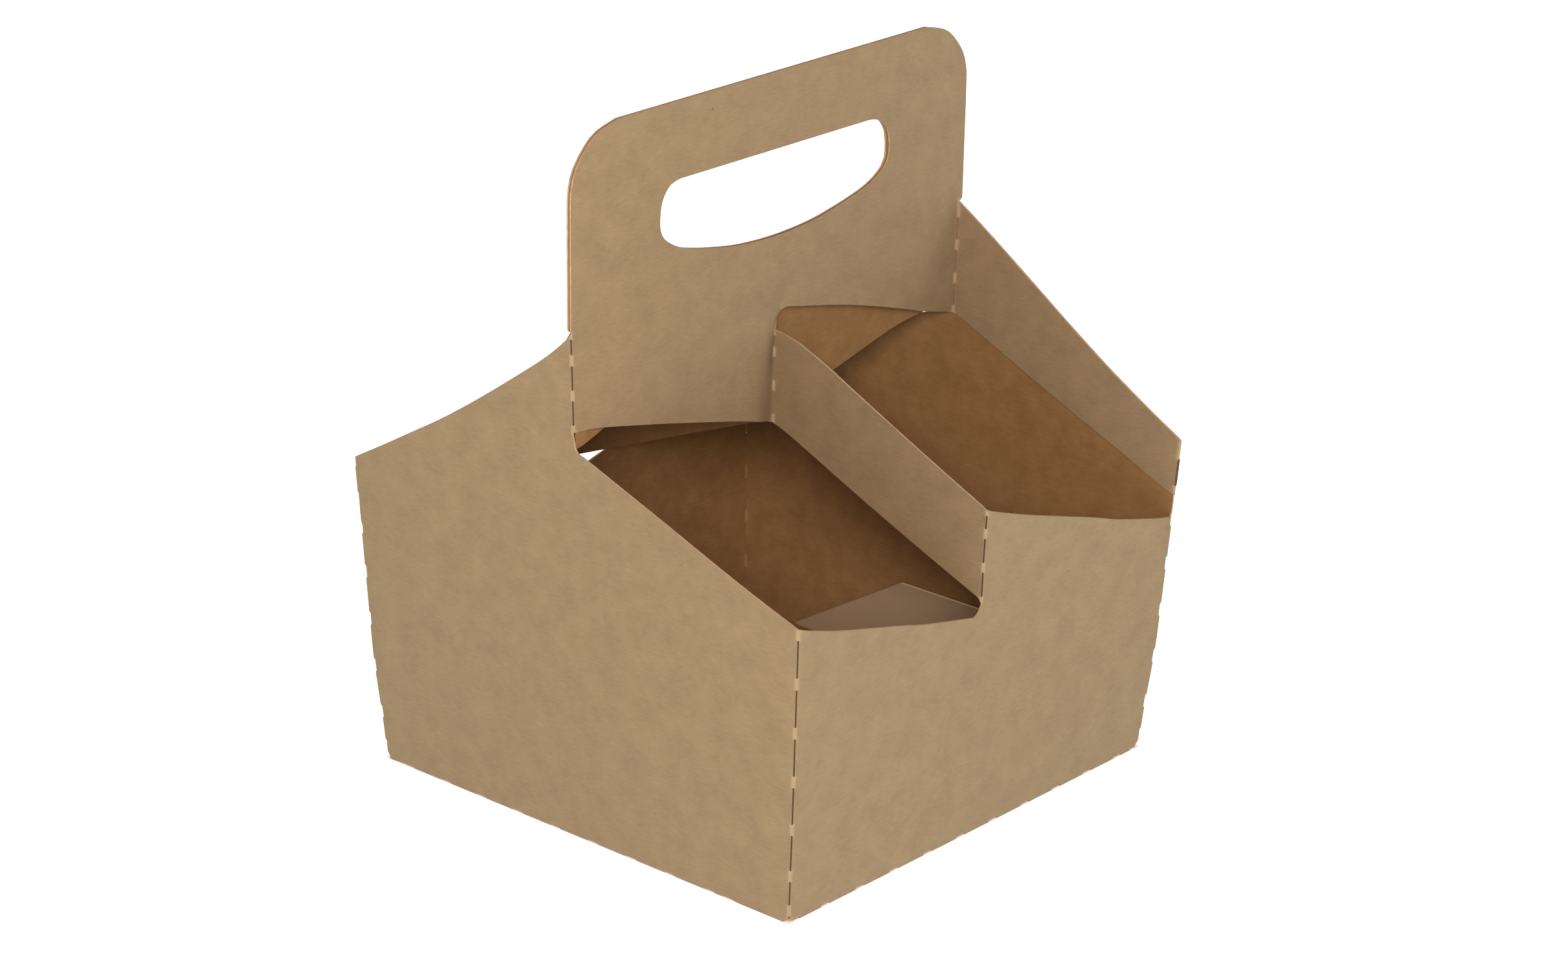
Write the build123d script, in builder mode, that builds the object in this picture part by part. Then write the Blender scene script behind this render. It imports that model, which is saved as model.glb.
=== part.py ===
"""Four-cell cup carrier folded from one die-cut sheet of kraft board."""

import math
import os

from build123d import *

# Board and base, in millimetres
board = 0.6
base_width = 165.0
base_depth = 163.0
flare = 0.045
floor_lap = 24.0
slot_radius = 3.2

# Heights of the cut edges where they meet a fold or a corner
low_corner_top = 93.4
low_end_top = 122.8
low_side_top = 71.0
strap_bottom_outer = 77.4
strap_bottom_inner = 107.8
strap_top_outer = 103.6
strap_top_inner = 137.4
side_corner_top = 76.4
high_corner_top = 98.6
high_end_top = 155.0
ply_bottom_at_end = 127.6
ply_bottom_at_liner = 121.6
liner_bottom_inner = 119.8
liner_bottom_corner = 83.0

# How far the curved cut edges sag below a straight line
low_side_sag = 2.0
high_side_sag = 1.6
high_end_sag = 2.2
ply_bottom_bulge = 1.6

# Handle and its hand hole
handle_width = 175.0
handle_top = 216.3
handle_corner = 19.0
shoulder_rise = 4.0
hole_width = 100.6
hole_top = 192.8
hole_bottom = 166.4
hole_top_radius = 9.5
hole_low_radius = 7.0
hole_bottom_sag = 9.2

# Dust flap that springs back from each end wall
flap_lean = 20.0
flap_height = 37.5
flap_root_back = 59.0
flap_tip_back = 2.5
flap_tip_front = 56.0
flap_root_front = 74.0

# The board is folded by half turns about the upright axis
half_turns = (1, -1)
lean = math.atan(flare)
half_width = base_width / 2
half_depth = base_depth / 2
blank_top = handle_top + 20
cutter_top = blank_top + 5
cut_clearance = 0.2


def side_reach(height):
    """Half length of a side wall's outer face at a height."""
    return half_width + flare * height


def end_reach(height):
    """Half length of an end wall's outer face at a height."""
    return half_depth + flare * height


def sagging_edge(start, end, sag):
    """A cut edge from start to end that sags below the straight line."""
    middle = ((start[0] + end[0]) / 2, (start[1] + end[1]) / 2 - sag)
    ThreePointArc(start, middle, end)


def end_wall_plane(turn):
    """Outer face of an end wall, seen from outside, with its centre fold at x = 0."""
    return Plane(
        origin=(-turn * half_width, 0, 0),
        x_dir=(0, -turn, 0),
        z_dir=(-turn * math.cos(lean), 0, -math.sin(lean)),
    )


def side_wall_plane(turn):
    """Outer face of a side wall, seen from outside, with its centre fold at x = 0."""
    return Plane(
        origin=(0, -turn * half_depth, 0),
        x_dir=(turn, 0, 0),
        z_dir=(0, -turn * math.cos(lean), -math.sin(lean)),
    )


def ply_plane(turn):
    """Inner face of a handle ply, in the middle of the handle."""
    return Plane(origin=(0, 0, 0), x_dir=(turn, 0, 0), z_dir=(0, -turn, 0))


def strap_plane(turn):
    """Outer face of a strap; x runs from the handle to the side wall."""
    return Plane(origin=(0, 0, 0), x_dir=(0, -turn, 0), z_dir=(-turn, 0, 0))


def flap_plane(turn):
    """Outer face of a dust flap that is folded up inside its end wall."""
    tilt = math.radians(flap_lean)
    root_x = turn * (half_width - board)
    return Plane(
        origin=(root_x, 0, 0),
        x_dir=(0, -turn, 0),
        z_dir=(-turn * math.cos(tilt), 0, -math.sin(tilt)),
    )


with BuildPart() as cup_carrier:
    # Four leaning walls as one sleeve, from an outer and an inner frustum
    with BuildSketch():
        Rectangle(base_width, base_depth)
    with BuildSketch(Plane.XY.offset(blank_top)):
        Rectangle(2 * side_reach(blank_top), 2 * end_reach(blank_top))
    loft()
    inset = board / math.cos(lean)
    with BuildSketch():
        Rectangle(base_width - 2 * inset, base_depth - 2 * inset)
    with BuildSketch(Plane.XY.offset(blank_top)):
        Rectangle(2 * (side_reach(blank_top) - inset), 2 * (end_reach(blank_top) - inset))
    loft(mode=Mode.SUBTRACT)

    for turn in half_turns:
        # End wall: one half is high and carries the handle, the other is low
        with BuildSketch(end_wall_plane(turn).offset(-board - cut_clearance)):
            with BuildLine():
                corner = end_reach(cutter_top)
                fold_top = (board, high_end_top)
                fold_low = (board, low_end_top + slot_radius)
                high_corner = (-end_reach(high_corner_top), high_corner_top)
                low_corner = (end_reach(low_corner_top), low_corner_top)
                sagging_edge(high_corner, fold_top, high_end_sag)
                Line(fold_top, fold_low)
                slot_end = (board + slot_radius, low_end_top)
                RadiusArc(fold_low, slot_end, -slot_radius)
                Line(slot_end, low_corner)
                Polyline(
                    low_corner,
                    (corner, low_corner_top),
                    (corner, cutter_top),
                    (-corner, cutter_top),
                    (-corner, high_corner_top),
                    high_corner,
                )
            make_face()
        extrude(amount=2 * board + cut_clearance, mode=Mode.SUBTRACT)

        # Side wall: one half is low, the other rises to the strap at the centre
        with BuildSketch(side_wall_plane(turn).offset(-board - cut_clearance)):
            with BuildLine():
                corner = side_reach(cutter_top)
                low_corner = (-side_reach(low_corner_top), low_corner_top)
                slot_end = (-slot_radius, low_side_top)
                fold_low = (0, low_side_top + slot_radius)
                fold_top = (0, strap_top_outer)
                high_corner = (side_reach(side_corner_top), side_corner_top)
                sagging_edge(low_corner, slot_end, low_side_sag)
                RadiusArc(slot_end, fold_low, -slot_radius)
                Line(fold_low, fold_top)
                sagging_edge(fold_top, high_corner, high_side_sag)
                Polyline(
                    high_corner,
                    (corner, side_corner_top),
                    (corner, cutter_top),
                    (-corner, cutter_top),
                    (-corner, low_corner_top),
                    low_corner,
                )
            make_face()
        extrude(amount=2 * board + cut_clearance, mode=Mode.SUBTRACT)

    for turn in half_turns:
        # Handle ply: hinged to an end wall, its low half carries the strap
        with BuildSketch(ply_plane(turn)):
            with BuildLine():
                shoulder = high_end_top + shoulder_rise
                left_low = (-side_reach(ply_bottom_at_end), ply_bottom_at_end)
                strap_low = (0, strap_bottom_inner)
                strap_side = (board, strap_bottom_inner)
                slot_low = (board, strap_top_inner)
                slot_high = (board + slot_radius, strap_top_inner + 2 * slot_radius)
                right_low = (side_reach(ply_bottom_at_liner), ply_bottom_at_liner)
                sagging_edge(left_low, strap_low, -ply_bottom_bulge)
                Line(strap_low, strap_side)
                Line(strap_side, slot_low)
                Line(slot_low, (board, slot_high[1] - slot_radius))
                RadiusArc((board, slot_high[1] - slot_radius), slot_high, slot_radius)
                Line(slot_high, right_low)
                Polyline(
                    right_low,
                    (side_reach(high_end_top), high_end_top),
                    (handle_width / 2, shoulder),
                    (handle_width / 2, handle_top - handle_corner),
                )
                RadiusArc(
                    (handle_width / 2, handle_top - handle_corner),
                    (handle_width / 2 - handle_corner, handle_top),
                    -handle_corner,
                )
                Line(
                    (handle_width / 2 - handle_corner, handle_top),
                    (handle_corner - handle_width / 2, handle_top),
                )
                RadiusArc(
                    (handle_corner - handle_width / 2, handle_top),
                    (-handle_width / 2, handle_top - handle_corner),
                    -handle_corner,
                )
                Polyline(
                    (-handle_width / 2, handle_top - handle_corner),
                    (-handle_width / 2, shoulder),
                    (-side_reach(high_end_top), high_end_top),
                    left_low,
                )
            make_face()
        extrude(amount=board)

        # Strap from the middle of the handle to the middle of the side wall
        with BuildSketch(strap_plane(turn)):
            with BuildLine():
                outer_low = end_reach(strap_bottom_outer) - slot_radius
                outer_high = end_reach(strap_top_outer) - board / 2
                Polyline(
                    (end_reach(low_side_top) - board / 2, strap_bottom_outer - slot_radius),
                    (outer_high, strap_top_outer),
                    (0, strap_top_inner),
                    (0, strap_bottom_inner),
                    (outer_low, strap_bottom_outer),
                )
                RadiusArc(
                    (outer_low, strap_bottom_outer),
                    (end_reach(low_side_top) - board / 2, strap_bottom_outer - slot_radius),
                    slot_radius,
                )
            make_face()
        extrude(amount=-board)

        # Liner that folds back from the high corner against the end wall
        with BuildSketch(end_wall_plane(-turn).offset(-board)):
            with BuildLine():
                top_corner = (-end_reach(high_corner_top), high_corner_top)
                top_fold = (board, high_end_top)
                sagging_edge(top_corner, top_fold, high_end_sag)
                Polyline(
                    top_fold,
                    (board, liner_bottom_inner),
                    (-end_reach(liner_bottom_corner), liner_bottom_corner),
                    top_corner,
                )
            make_face()
        extrude(amount=-board)

        # Dust flap folded up inside the end wall, leaning where it sprang back
        with BuildSketch(flap_plane(turn)):
            Polygon(
                (-flap_root_back, -board),
                (-flap_root_back, board),
                (-flap_tip_back, flap_height),
                (flap_tip_front, flap_height),
                (flap_root_front, board),
                (flap_root_front, -board),
                align=None,
            )
        extrude(amount=-board)

    # Floor: two flaps that lap and are glued along the middle
    with BuildSketch():
        Rectangle(base_width - board, base_depth - board)
    extrude(amount=board)
    with BuildSketch(Plane.XY.offset(board)):
        Rectangle(base_width - 3 * board, floor_lap)
    extrude(amount=board)

    # Hand hole through both plies
    with BuildSketch(Plane.XZ.offset(-handle_corner)):
        with BuildLine():
            low = hole_bottom + hole_bottom_sag
            left_low = (-hole_width / 2, low)
            right_low = (hole_width / 2, low)
            left_high = (-hole_width / 2, hole_top)
            right_high = (hole_width / 2, hole_top)
            sagging_edge(left_low, right_low, hole_bottom_sag)
            Polyline(right_low, right_high, left_high, left_low)
        make_face()
        fillet(vertices().group_by(Axis.Y)[-1], hole_top_radius)
        fillet(vertices().group_by(Axis.Y)[0], hole_low_radius)
    extrude(amount=2 * handle_corner, mode=Mode.SUBTRACT)

    # Trim whatever the folds leave below the surface it stands on
    split(bisect_by=Plane.XY, keep=Keep.TOP)

cup_carrier.part.label = "cup_carrier"
os.makedirs("parts", exist_ok=True)
export_step(cup_carrier.part, "parts/cup_carrier.step")
print("volume", round(cup_carrier.part.volume), "size", cup_carrier.part.bounding_box().size)
print("solids", len(cup_carrier.part.solids()))
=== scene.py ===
import math

import bmesh
import bpy
import numpy as np
from mathutils import Matrix, Vector, geometry


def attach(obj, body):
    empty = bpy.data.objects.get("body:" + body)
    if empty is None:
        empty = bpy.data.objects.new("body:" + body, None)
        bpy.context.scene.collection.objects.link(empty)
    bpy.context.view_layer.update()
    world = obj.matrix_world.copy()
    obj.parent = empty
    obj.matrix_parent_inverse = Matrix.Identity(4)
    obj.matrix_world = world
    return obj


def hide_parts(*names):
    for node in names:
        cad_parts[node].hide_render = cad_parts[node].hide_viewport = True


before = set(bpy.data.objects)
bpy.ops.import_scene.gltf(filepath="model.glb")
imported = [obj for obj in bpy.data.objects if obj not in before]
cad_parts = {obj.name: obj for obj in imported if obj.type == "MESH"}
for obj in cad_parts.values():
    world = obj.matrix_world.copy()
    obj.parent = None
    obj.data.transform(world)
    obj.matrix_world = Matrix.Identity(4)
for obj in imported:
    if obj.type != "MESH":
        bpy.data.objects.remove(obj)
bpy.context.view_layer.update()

# Sizes below are in millimetres; the mesh is written in metres
metresPerMm = 0.001

# Camera of the photograph
cameraSettings = {
    "azimuth": -49.281,
    "elevation": 21.331,
    "roll": 1.1067,
    "position": (-911.9, -790.4, 558.2),
    "focalPixels": 6694.8,
    "imageWidth": 2430,
    "sensor": 36.0,
    "clip": (0.02, 60),
}


def makeCamera():
    az = math.radians(cameraSettings["azimuth"])
    el = math.radians(cameraSettings["elevation"])
    roll = math.radians(cameraSettings["roll"])
    back = Vector((math.sin(az) * math.cos(el), -math.cos(az) * math.cos(el), math.sin(el)))
    right = (-back).cross(Vector((0, 0, 1))).normalized()
    up = right.cross(-back)
    turnedRight = math.cos(roll) * right + math.sin(roll) * up
    turnedUp = -math.sin(roll) * right + math.cos(roll) * up
    data = bpy.data.cameras.new("photo_camera")
    data.sensor_width = cameraSettings["sensor"]
    data.lens = cameraSettings["focalPixels"] / cameraSettings["imageWidth"] * data.sensor_width
    data.clip_start, data.clip_end = cameraSettings["clip"]
    camera = bpy.data.objects.new("photo_camera", data)
    matrix = Matrix((turnedRight, turnedUp, back)).transposed().to_4x4()
    matrix.translation = Vector(cameraSettings["position"]) * metresPerMm
    camera.matrix_world = matrix
    bpy.context.scene.collection.objects.link(camera)
    bpy.context.scene.camera = camera


makeCamera()
print("camera set")

# The sheet: board thickness, lean of the walls, and the cut-and-bridge folds
sheetSettings = {
    "board": 0.6,
    "flareX": 0.045,
    "flareY": 0.0523,
    "halfX": 82.5,
    "halfY": 81.4,
    "grid": 3.6,
    "foldColumns": (0.32, 0.64, 0.96, 1.3, 2.3),
    "floorGrid": 6.0,
    "endPull": 2.6,
    "sidePull": 2.7,
    "pullReach": 82.0,
    "plyBow": 2.35,
    "strapSag": 0.8,
    "linerLift": 0.6,
    "lapRise": 0.68,
    "cornerCut": 2.2,
    "cornerSwell": 0.95,
    "slitGap": 0.3,
    "linerGap": 0.1,
    "strapGap": 0.06,
    "plyOverStrap": -0.3,
    "flapGap": 0.95,
    "slitEnd": (0.12, 0.35, 0.7),
    "bridgeMargin": 0.9,
    "shortestSlit": 2.5,
    "bendFade": 0.55,
    "foldRadius": 1.3,
    "plyFoldRadius": 1.04,
    "innerFoldRadius": 0.8,
    "linerRadius": 0.67,
    "cornerSlits": {"period": 15.3, "cut": 11.7, "start": 1.9},
    "bottomSlits": {"period": 15.3, "cut": 11.9, "start": -80.0},
    "highCornerSlits": {"period": 15.3, "cut": 9.0, "start": 86.4},
    "plySlits": {"period": 10.6, "cut": 7.4, "start": 130.0},
    "strapSlits": {"period": 10.6, "cut": 7.8, "start": 110.6},
    "sideStrapSlits": {"period": 10.6, "cut": 7.6, "start": 76.0},
    "linerPlySlits": {"period": 10.6, "cut": 7.6, "start": 124.0},
    "secondHalfShift": 0.4,
    "sharpAngle": 38.0,
    "weldDistance": 0.004,
}
board = sheetSettings["board"]
slitGap = sheetSettings["slitGap"]
linerGap = sheetSettings["linerGap"]
strapGap = sheetSettings["strapGap"]
cornerCut = sheetSettings["cornerCut"]


def smooth(low, high, value):
    t = np.clip((np.asarray(value, float) - low) / (high - low), 0, 1)
    return t * t * (3 - 2 * t)


def halfX(z):
    return sheetSettings["halfX"] + sheetSettings["flareX"] * z


def halfY(z):
    return sheetSettings["halfY"] + sheetSettings["flareY"] * z


# The corners stand out a little where the slits let the walls run past each other.
def swell(z):
    return sheetSettings["cornerSwell"] * smooth(4, 38, z)


def reachX(z):
    return halfX(z) + swell(z)


def reachY(z):
    return halfY(z) + swell(z)


def stack(x, y, z):
    return np.stack(np.broadcast_arrays(x, y, z), -1).astype(float)


# Panel surfaces: outer face of the board as a function of two panel coordinates
plyFront = -0.66


# How far the handle has drawn an end wall inwards.
def endPull(a, z):
    share = np.clip(1 - np.abs(a) / sheetSettings["pullReach"], 0, 1)
    return sheetSettings["endPull"] * smooth(20, 150, z) * share


def endWall(a, z):
    out = swell(z) * smooth(30, 82, np.abs(a))
    return stack(-(halfX(z) - endPull(a, z) + out), -a, z)


sideCentre = -1.8


def sideWall(a, z):
    drawn = np.clip(1 - np.abs(a - sideCentre) / sheetSettings["pullReach"], 0, 1)
    out = swell(z) * smooth(30, 82, np.abs(a))
    pull = sheetSettings["sidePull"] * smooth(15, 100, z) * drawn
    return stack(a, -(halfY(z) - pull + out), z)


# The front of each ply stands off towards its own side below the hand hole.
def plyBow(a, z):
    low = smooth(176, 128, z)
    valley = smooth(152, 138, z)
    valleyWidth = 1.5 + 9.0 * np.clip((144 - z) / 36, 0, 1)
    leftPart = (1 - valley * (1 - smooth(0, valleyWidth, -a))) * smooth(86, 58, -a)
    creaseStart = 83 - 34 * np.clip((160 - z) / 36, 0.05, 1.2)
    rightPart = (1 - valley * (1 - smooth(0, 6, a))) * (1 - smooth(creaseStart, 84.5, a))
    return sheetSettings["plyBow"] * low * np.where(a < 0, leftPart, rightPart)


def handlePly(a, z):
    return stack(a, plyFront - plyBow(a, z), z)


def strap(a, z):
    outer = sideWall(np.full(np.shape(z), sideCentre), z)
    share = np.clip((a + plyFront) / (-outer[..., 1] + plyFront), -0.02, 1.02)
    sag = sheetSettings["strapSag"] * np.sin(np.pi * np.clip(share, 0, 1)) * smooth(140, 90, z)
    return stack(outer[..., 0] * share - sag, -a, z)


def liner(a, z):
    wall = endWall(a, z)
    lowEdge = smooth(24, 0, z - 121.6 + 0.445 * a)
    lift = sheetSettings["linerLift"] * np.sin(np.pi * np.clip(a / 84, 0, 1)) * lowEdge
    return stack(-wall[..., 0] - 2 * sheetSettings["linerRadius"] - lift, -a, z)


# Dust flap: it springs back from the end wall that it is hinged to
# pale: how far the whole dust flap is painted towards the paler tone, as painted light
flapSettings = {"lean": 20.0, "radius": 1.0, "back": -59.0, "front": 74.0, "curl": 1.2, "pale": 3.2}
flapLean = math.radians(flapSettings["lean"])
flapRadius = flapSettings["radius"]


def dustFlap(a, b):
    x = -halfX(0) + flapRadius * (1 + math.cos(flapLean)) + (b - flapRadius) * math.sin(flapLean)
    z = flapRadius * (1 - math.sin(flapLean)) + (b - flapRadius) * math.cos(flapLean)
    across = (a - flapSettings["back"]) / (flapSettings["front"] - flapSettings["back"])
    bend = flapSettings["curl"] * np.clip(b / 37, 0, 1) ** 2 * np.sin(across * np.pi)
    return stack(x + bend, a, z)


def floorLower(a, b):
    return stack(-a, -halfY(0) + b, 0.0 * b)


def floorUpper(a, b):
    return stack(-a, -halfY(0) + b, sheetSettings["lapRise"] * smooth(60, 68, b))


def unit(v):
    return v / np.maximum(np.linalg.norm(v, axis=-1, keepdims=True), 1e-12)


# Directions a share of the way from one unit vector to another.
def turnBetween(first, second, share):
    dot = np.clip((first * second).sum(-1), -1, 1)
    angle = np.arccos(dot)[..., None]
    share = share[..., None]
    safe = np.maximum(np.sin(angle), 1e-6)
    return (np.sin((1 - share) * angle) * first + np.sin(share * angle) * second) / safe


# A cut and creased fold: slits through the board with short bridges between them.
class Fold:
    def __init__(self, low, high, slits, arc, radius, convex=True, clear=(1.6, 1.6)):
        self.low = low
        self.high = high
        self.arc = arc
        self.radius = radius
        self.sign = -1 if convex else 1
        self.spans = []
        start = slits["start"]
        while start < high:
            span = (max(start, low + clear[0]), min(start + slits["cut"], high - clear[1]))
            if span[1] - span[0] > sheetSettings["shortestSlit"]:
                self.spans.append(span)
            start += slits["period"]

    # 1 where the board is bent round the fold, 0 where it is cut through.
    def weight(self, along):
        bent = np.ones(np.shape(along))
        for start, end in self.spans:
            inside = np.minimum(along - start, end - along)
            bent = np.minimum(bent, 1 - smooth(0.0, sheetSettings["bendFade"], inside))
        outside = np.maximum(self.low - along, along - self.high)
        return bent * (1 - smooth(0.0, 1.2, outside))

    def cut(self, along):
        return any(start < along < end for start, end in self.spans)

    def rows(self):
        rows = [self.low, self.high]
        margin, steps = sheetSettings["bridgeMargin"], sheetSettings["slitEnd"]
        for start, end in self.spans:
            rows += [start - margin, start] + [start + step for step in steps]
            rows += [end + margin, end] + [end - step for step in steps]
            rows += list(np.linspace(start + steps[-1], end - steps[-1], 4)[1:-1])
        return sorted(r for r in set(rows) if self.low <= r <= self.high)

    # Points along the cut edge from low to high, each with its distance from the fold line.
    def edge(self, low, high, gap):
        points = [(low, 0.0)]
        for row in self.rows():
            if low < row < high:
                points.append((row, gap if self.cut(row) else 0.0))
        points.append((high, 0.0))
        return points


# Centre, directions and tangent length of the bend where two panels meet.
def sharpArc(corner, first, second, radius):
    cosine = (first * second).sum(-1)
    half = np.arccos(np.clip(cosine, -1, 1)) / 2
    centre = corner + unit(first + second) * (radius / np.sin(half))[..., None]
    tangent = (radius / np.tan(half))[..., None]
    toFirst = unit(corner + first * tangent - centre)
    toSecond = unit(corner + second * tangent - centre)
    return centre, toFirst, toSecond, unit(corner - centre), tangent[..., 0]


# The arc of a fold whose line and panel directions are functions of one coordinate.
def foldBetween(corner, first, second, radius):
    def arc(along):
        return sharpArc(corner(along), first(along), second(along), radius)

    return arc


# The high corner, folded flat so that the liner lies against the end wall.
def linerArc(along):
    radius = sheetSettings["linerRadius"]
    z = np.asarray(along, float)
    centre = stack(-(reachX(z) - radius), reachY(z) - radius, z)
    outward = stack(-1.0 + 0 * z, 0 * z, 0 * z)
    return centre, outward, -outward, stack(0 * z, 1.0 + 0 * z, 0 * z), radius + 0 * z


def halfTurn(points):
    return points * np.array([-1.0, -1.0, 1.0])


def arcHalfTurn(arc):
    def turned(along):
        centre, first, second, middle, tangent = arc(along)
        return halfTurn(centre), halfTurn(first), halfTurn(second), halfTurn(middle), tangent

    return turned


def flapArc(along):
    y = np.asarray(along, float)
    centre = stack(-halfX(0) + flapRadius + 0 * y, y, flapRadius + 0 * y)
    first = unit(stack(-1.0 + 0 * y, 0 * y, -0.045 + 0 * y))
    second = stack(math.cos(flapLean) + 0 * y, 0 * y, -math.sin(flapLean) + 0 * y)
    return centre, first, second, unit(first + second), flapRadius + 0 * y


# Unit direction on a surface from a line, at height z.
def along(surface, fixed, step, z):
    here = surface(fixed(z), z)
    return unit(surface(fixed(z) + step, z) - here)


# Fold lines: the panel coordinate across, as a function of height
def plyLeft(z):
    return -(halfX(z) - endPull(-plyFront, z))


def linerInner(z):
    return liner(np.full(np.shape(z), -plyFront), z)[..., 0]


def endFold(z):
    return np.full(np.shape(z), -plyFront)


def strapInner(z):
    return -plyFront + plyBow(np.zeros(np.shape(z)), z)


def strapOuter(z):
    return -sideWall(np.full(np.shape(z), sideCentre), z)[..., 1]


def sideFold(z):
    return np.full(np.shape(z), sideCentre)


def zeroLine(z):
    return np.zeros(np.shape(z))


def minusReachX(z):
    return -reachX(z)


def minusReachY(z):
    return -reachY(z)


def level(x, y, z):
    return unit(stack(x + 0 * z, y + 0 * z, 0 * z))


# Heights where the folds start and end
heights = {
    "lowCorner": 93.4,
    "sideCorner": 76.4,
    "linerLow": 83.6,
    "highCornerLeft": 98.0,
    "highCornerRight": 100.8,
    "plyLow": 127.8,
    "foldTop": 157.6,
    "linerFoldLow": 121.9,
    "strapLow": 108.2,
    "strapHigh": 137.4,
    "strapOuterLow": 73.6,
    "strapOuterHigh": 103.0,
}
radius = sheetSettings["foldRadius"]
plyRadius = sheetSettings["plyFoldRadius"]
innerRadius = sheetSettings["innerFoldRadius"]
lowCornerFold = Fold(
    cornerCut,
    heights["lowCorner"],
    sheetSettings["cornerSlits"],
    foldBetween(
        lambda z: stack(-reachX(z), -reachY(z), z),
        lambda z: along(endWall, reachY, -6, z),
        lambda z: along(sideWall, minusReachX, 6, z),
        radius,
    ),
    radius,
    clear=(3.6, 2.6),
)
highCornerFold = Fold(
    cornerCut,
    heights["sideCorner"],
    sheetSettings["cornerSlits"],
    foldBetween(
        lambda z: stack(reachX(z), -reachY(z), z),
        lambda z: along(sideWall, reachX, -6, z),
        lambda z: halfTurn(along(endWall, minusReachY, 6, z)),
        radius,
    ),
    radius,
    clear=(3.6, 2.6),
)
linerFolds = {
    turn: Fold(
        heights["linerLow"],
        heights[highName],
        sheetSettings["highCornerSlits"],
        linerArc,
        sheetSettings["linerRadius"],
    )
    for turn, highName in ((1, "highCornerLeft"), (-1, "highCornerRight"))
}
plyFold = Fold(
    heights["plyLow"],
    heights["foldTop"],
    sheetSettings["plySlits"],
    foldBetween(
        lambda z: stack(plyLeft(z), plyFront, z),
        lambda z: along(endWall, endFold, -6, z),
        lambda z: level(1.0, 0, z),
        plyRadius,
    ),
    plyRadius,
)
strapFold = Fold(
    heights["strapLow"],
    heights["strapHigh"],
    sheetSettings["strapSlits"],
    foldBetween(
        lambda z: stack(0 * z, -strapInner(z), z),
        lambda z: level(-1.0, 0, z),
        lambda z: along(strap, strapInner, 6, z),
        innerRadius,
    ),
    innerRadius,
    convex=False,
)
sideStrapFold = Fold(
    heights["strapOuterLow"],
    heights["strapOuterHigh"],
    sheetSettings["sideStrapSlits"],
    foldBetween(
        lambda z: sideWall(sideFold(z), z),
        lambda z: along(strap, strapOuter, -6, z),
        lambda z: along(sideWall, sideFold, 6, z),
        plyRadius,
    ),
    plyRadius,
)
linerPlyFold = Fold(
    heights["linerFoldLow"],
    heights["foldTop"],
    sheetSettings["linerPlySlits"],
    foldBetween(
        lambda z: stack(linerInner(z), plyFront, z),
        lambda z: level(-1.0, 0, z),
        lambda z: along(liner, endFold, 6, z),
        innerRadius,
    ),
    innerRadius,
    convex=False,
)
sideBottomFold = Fold(
    -halfX(0) + cornerCut,
    halfX(0) - cornerCut,
    sheetSettings["bottomSlits"],
    foldBetween(
        lambda x: stack(x, -halfY(0), 0 * x),
        lambda x: unit(sideWall(x, 0 * x + 6) - sideWall(x, 0 * x)),
        lambda x: level(0, 1.0, x),
        radius,
    ),
    radius,
    clear=(2.4, 2.4),
)
endBottomFold = Fold(
    flapSettings["back"],
    flapSettings["front"],
    sheetSettings["bottomSlits"],
    flapArc,
    flapRadius,
    clear=(2.4, 2.4),
)
print("folds laid out")

foldColumns = sheetSettings["foldColumns"]
samePoint = 0.02


# Points along a smooth curve through the given ones, ends included.
def smoothCurve(points, step=2.6):
    p = np.array(points, float)
    padded = np.vstack([2 * p[0] - p[1], p, 2 * p[-1] - p[-2]])
    out = []
    for i in range(1, len(padded) - 2):
        a, b, c, d = padded[i - 1 : i + 3]
        count = max(2, int(np.linalg.norm(c - b) / step))
        for k in range(count):
            t = k / count
            out.append(
                0.5
                * (
                    2 * b
                    + (c - a) * t
                    + (2 * a - 5 * b + 4 * c - d) * t * t
                    + (3 * b - a - 3 * c + d) * t**3
                )
            )
    out.append(p[-1])
    return [tuple(q) for q in out]


def roundEnd(centre, size, start, end, count=6):
    angles = np.radians(np.linspace(start, end, count))
    return [(centre[0] + size * math.cos(g), centre[1] + size * math.sin(g)) for g in angles]


def straight(first, last, step=3.0):
    length = math.dist(first, last)
    count = max(1, int(length / step))
    return [
        (first[0] + (last[0] - first[0]) * k / count, first[1] + (last[1] - first[1]) * k / count)
        for k in range(count + 1)
    ]


# One outline from its stretches, without repeated points.
def joined(*parts):
    out = []
    for part in parts:
        for q in part:
            if not out or math.dist(out[-1], q) > samePoint:
                out.append((float(q[0]), float(q[1])))
    if math.dist(out[0], out[-1]) < samePoint:
        out.pop()
    return out


def uprightEdge(fold, low, high, line, inward, gap):
    return [(float(line(np.array(z))) + inward * d, z) for z, d in fold.edge(low, high, gap)]


def insidePolygon(points, polygon):
    x, y = points[:, 0], points[:, 1]
    inside = np.zeros(len(points), bool)
    px, py = polygon[:, 0], polygon[:, 1]
    qx, qy = np.roll(px, -1), np.roll(py, -1)
    for x0, y0, x1, y1 in zip(px, py, qx, qy):
        if y0 == y1:
            continue
        crosses = (y0 > y) != (y1 > y)
        inside ^= crosses & (x < (x1 - x0) * (y - y0) / (y1 - y0) + x0)
    return inside


def outlineDistance(points, polygons):
    best = np.full(len(points), 1e9)
    for polygon in polygons:
        a = polygon
        d = np.roll(polygon, -1, 0) - polygon
        length = np.maximum((d**2).sum(1), 1e-12)
        for k in range(len(a)):
            t = np.clip(((points - a[k]) @ d[k]) / length[k], 0, 1)
            near = a[k] + t[:, None] * d[k]
            best = np.minimum(best, np.linalg.norm(points - near, axis=1))
    return best


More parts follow.
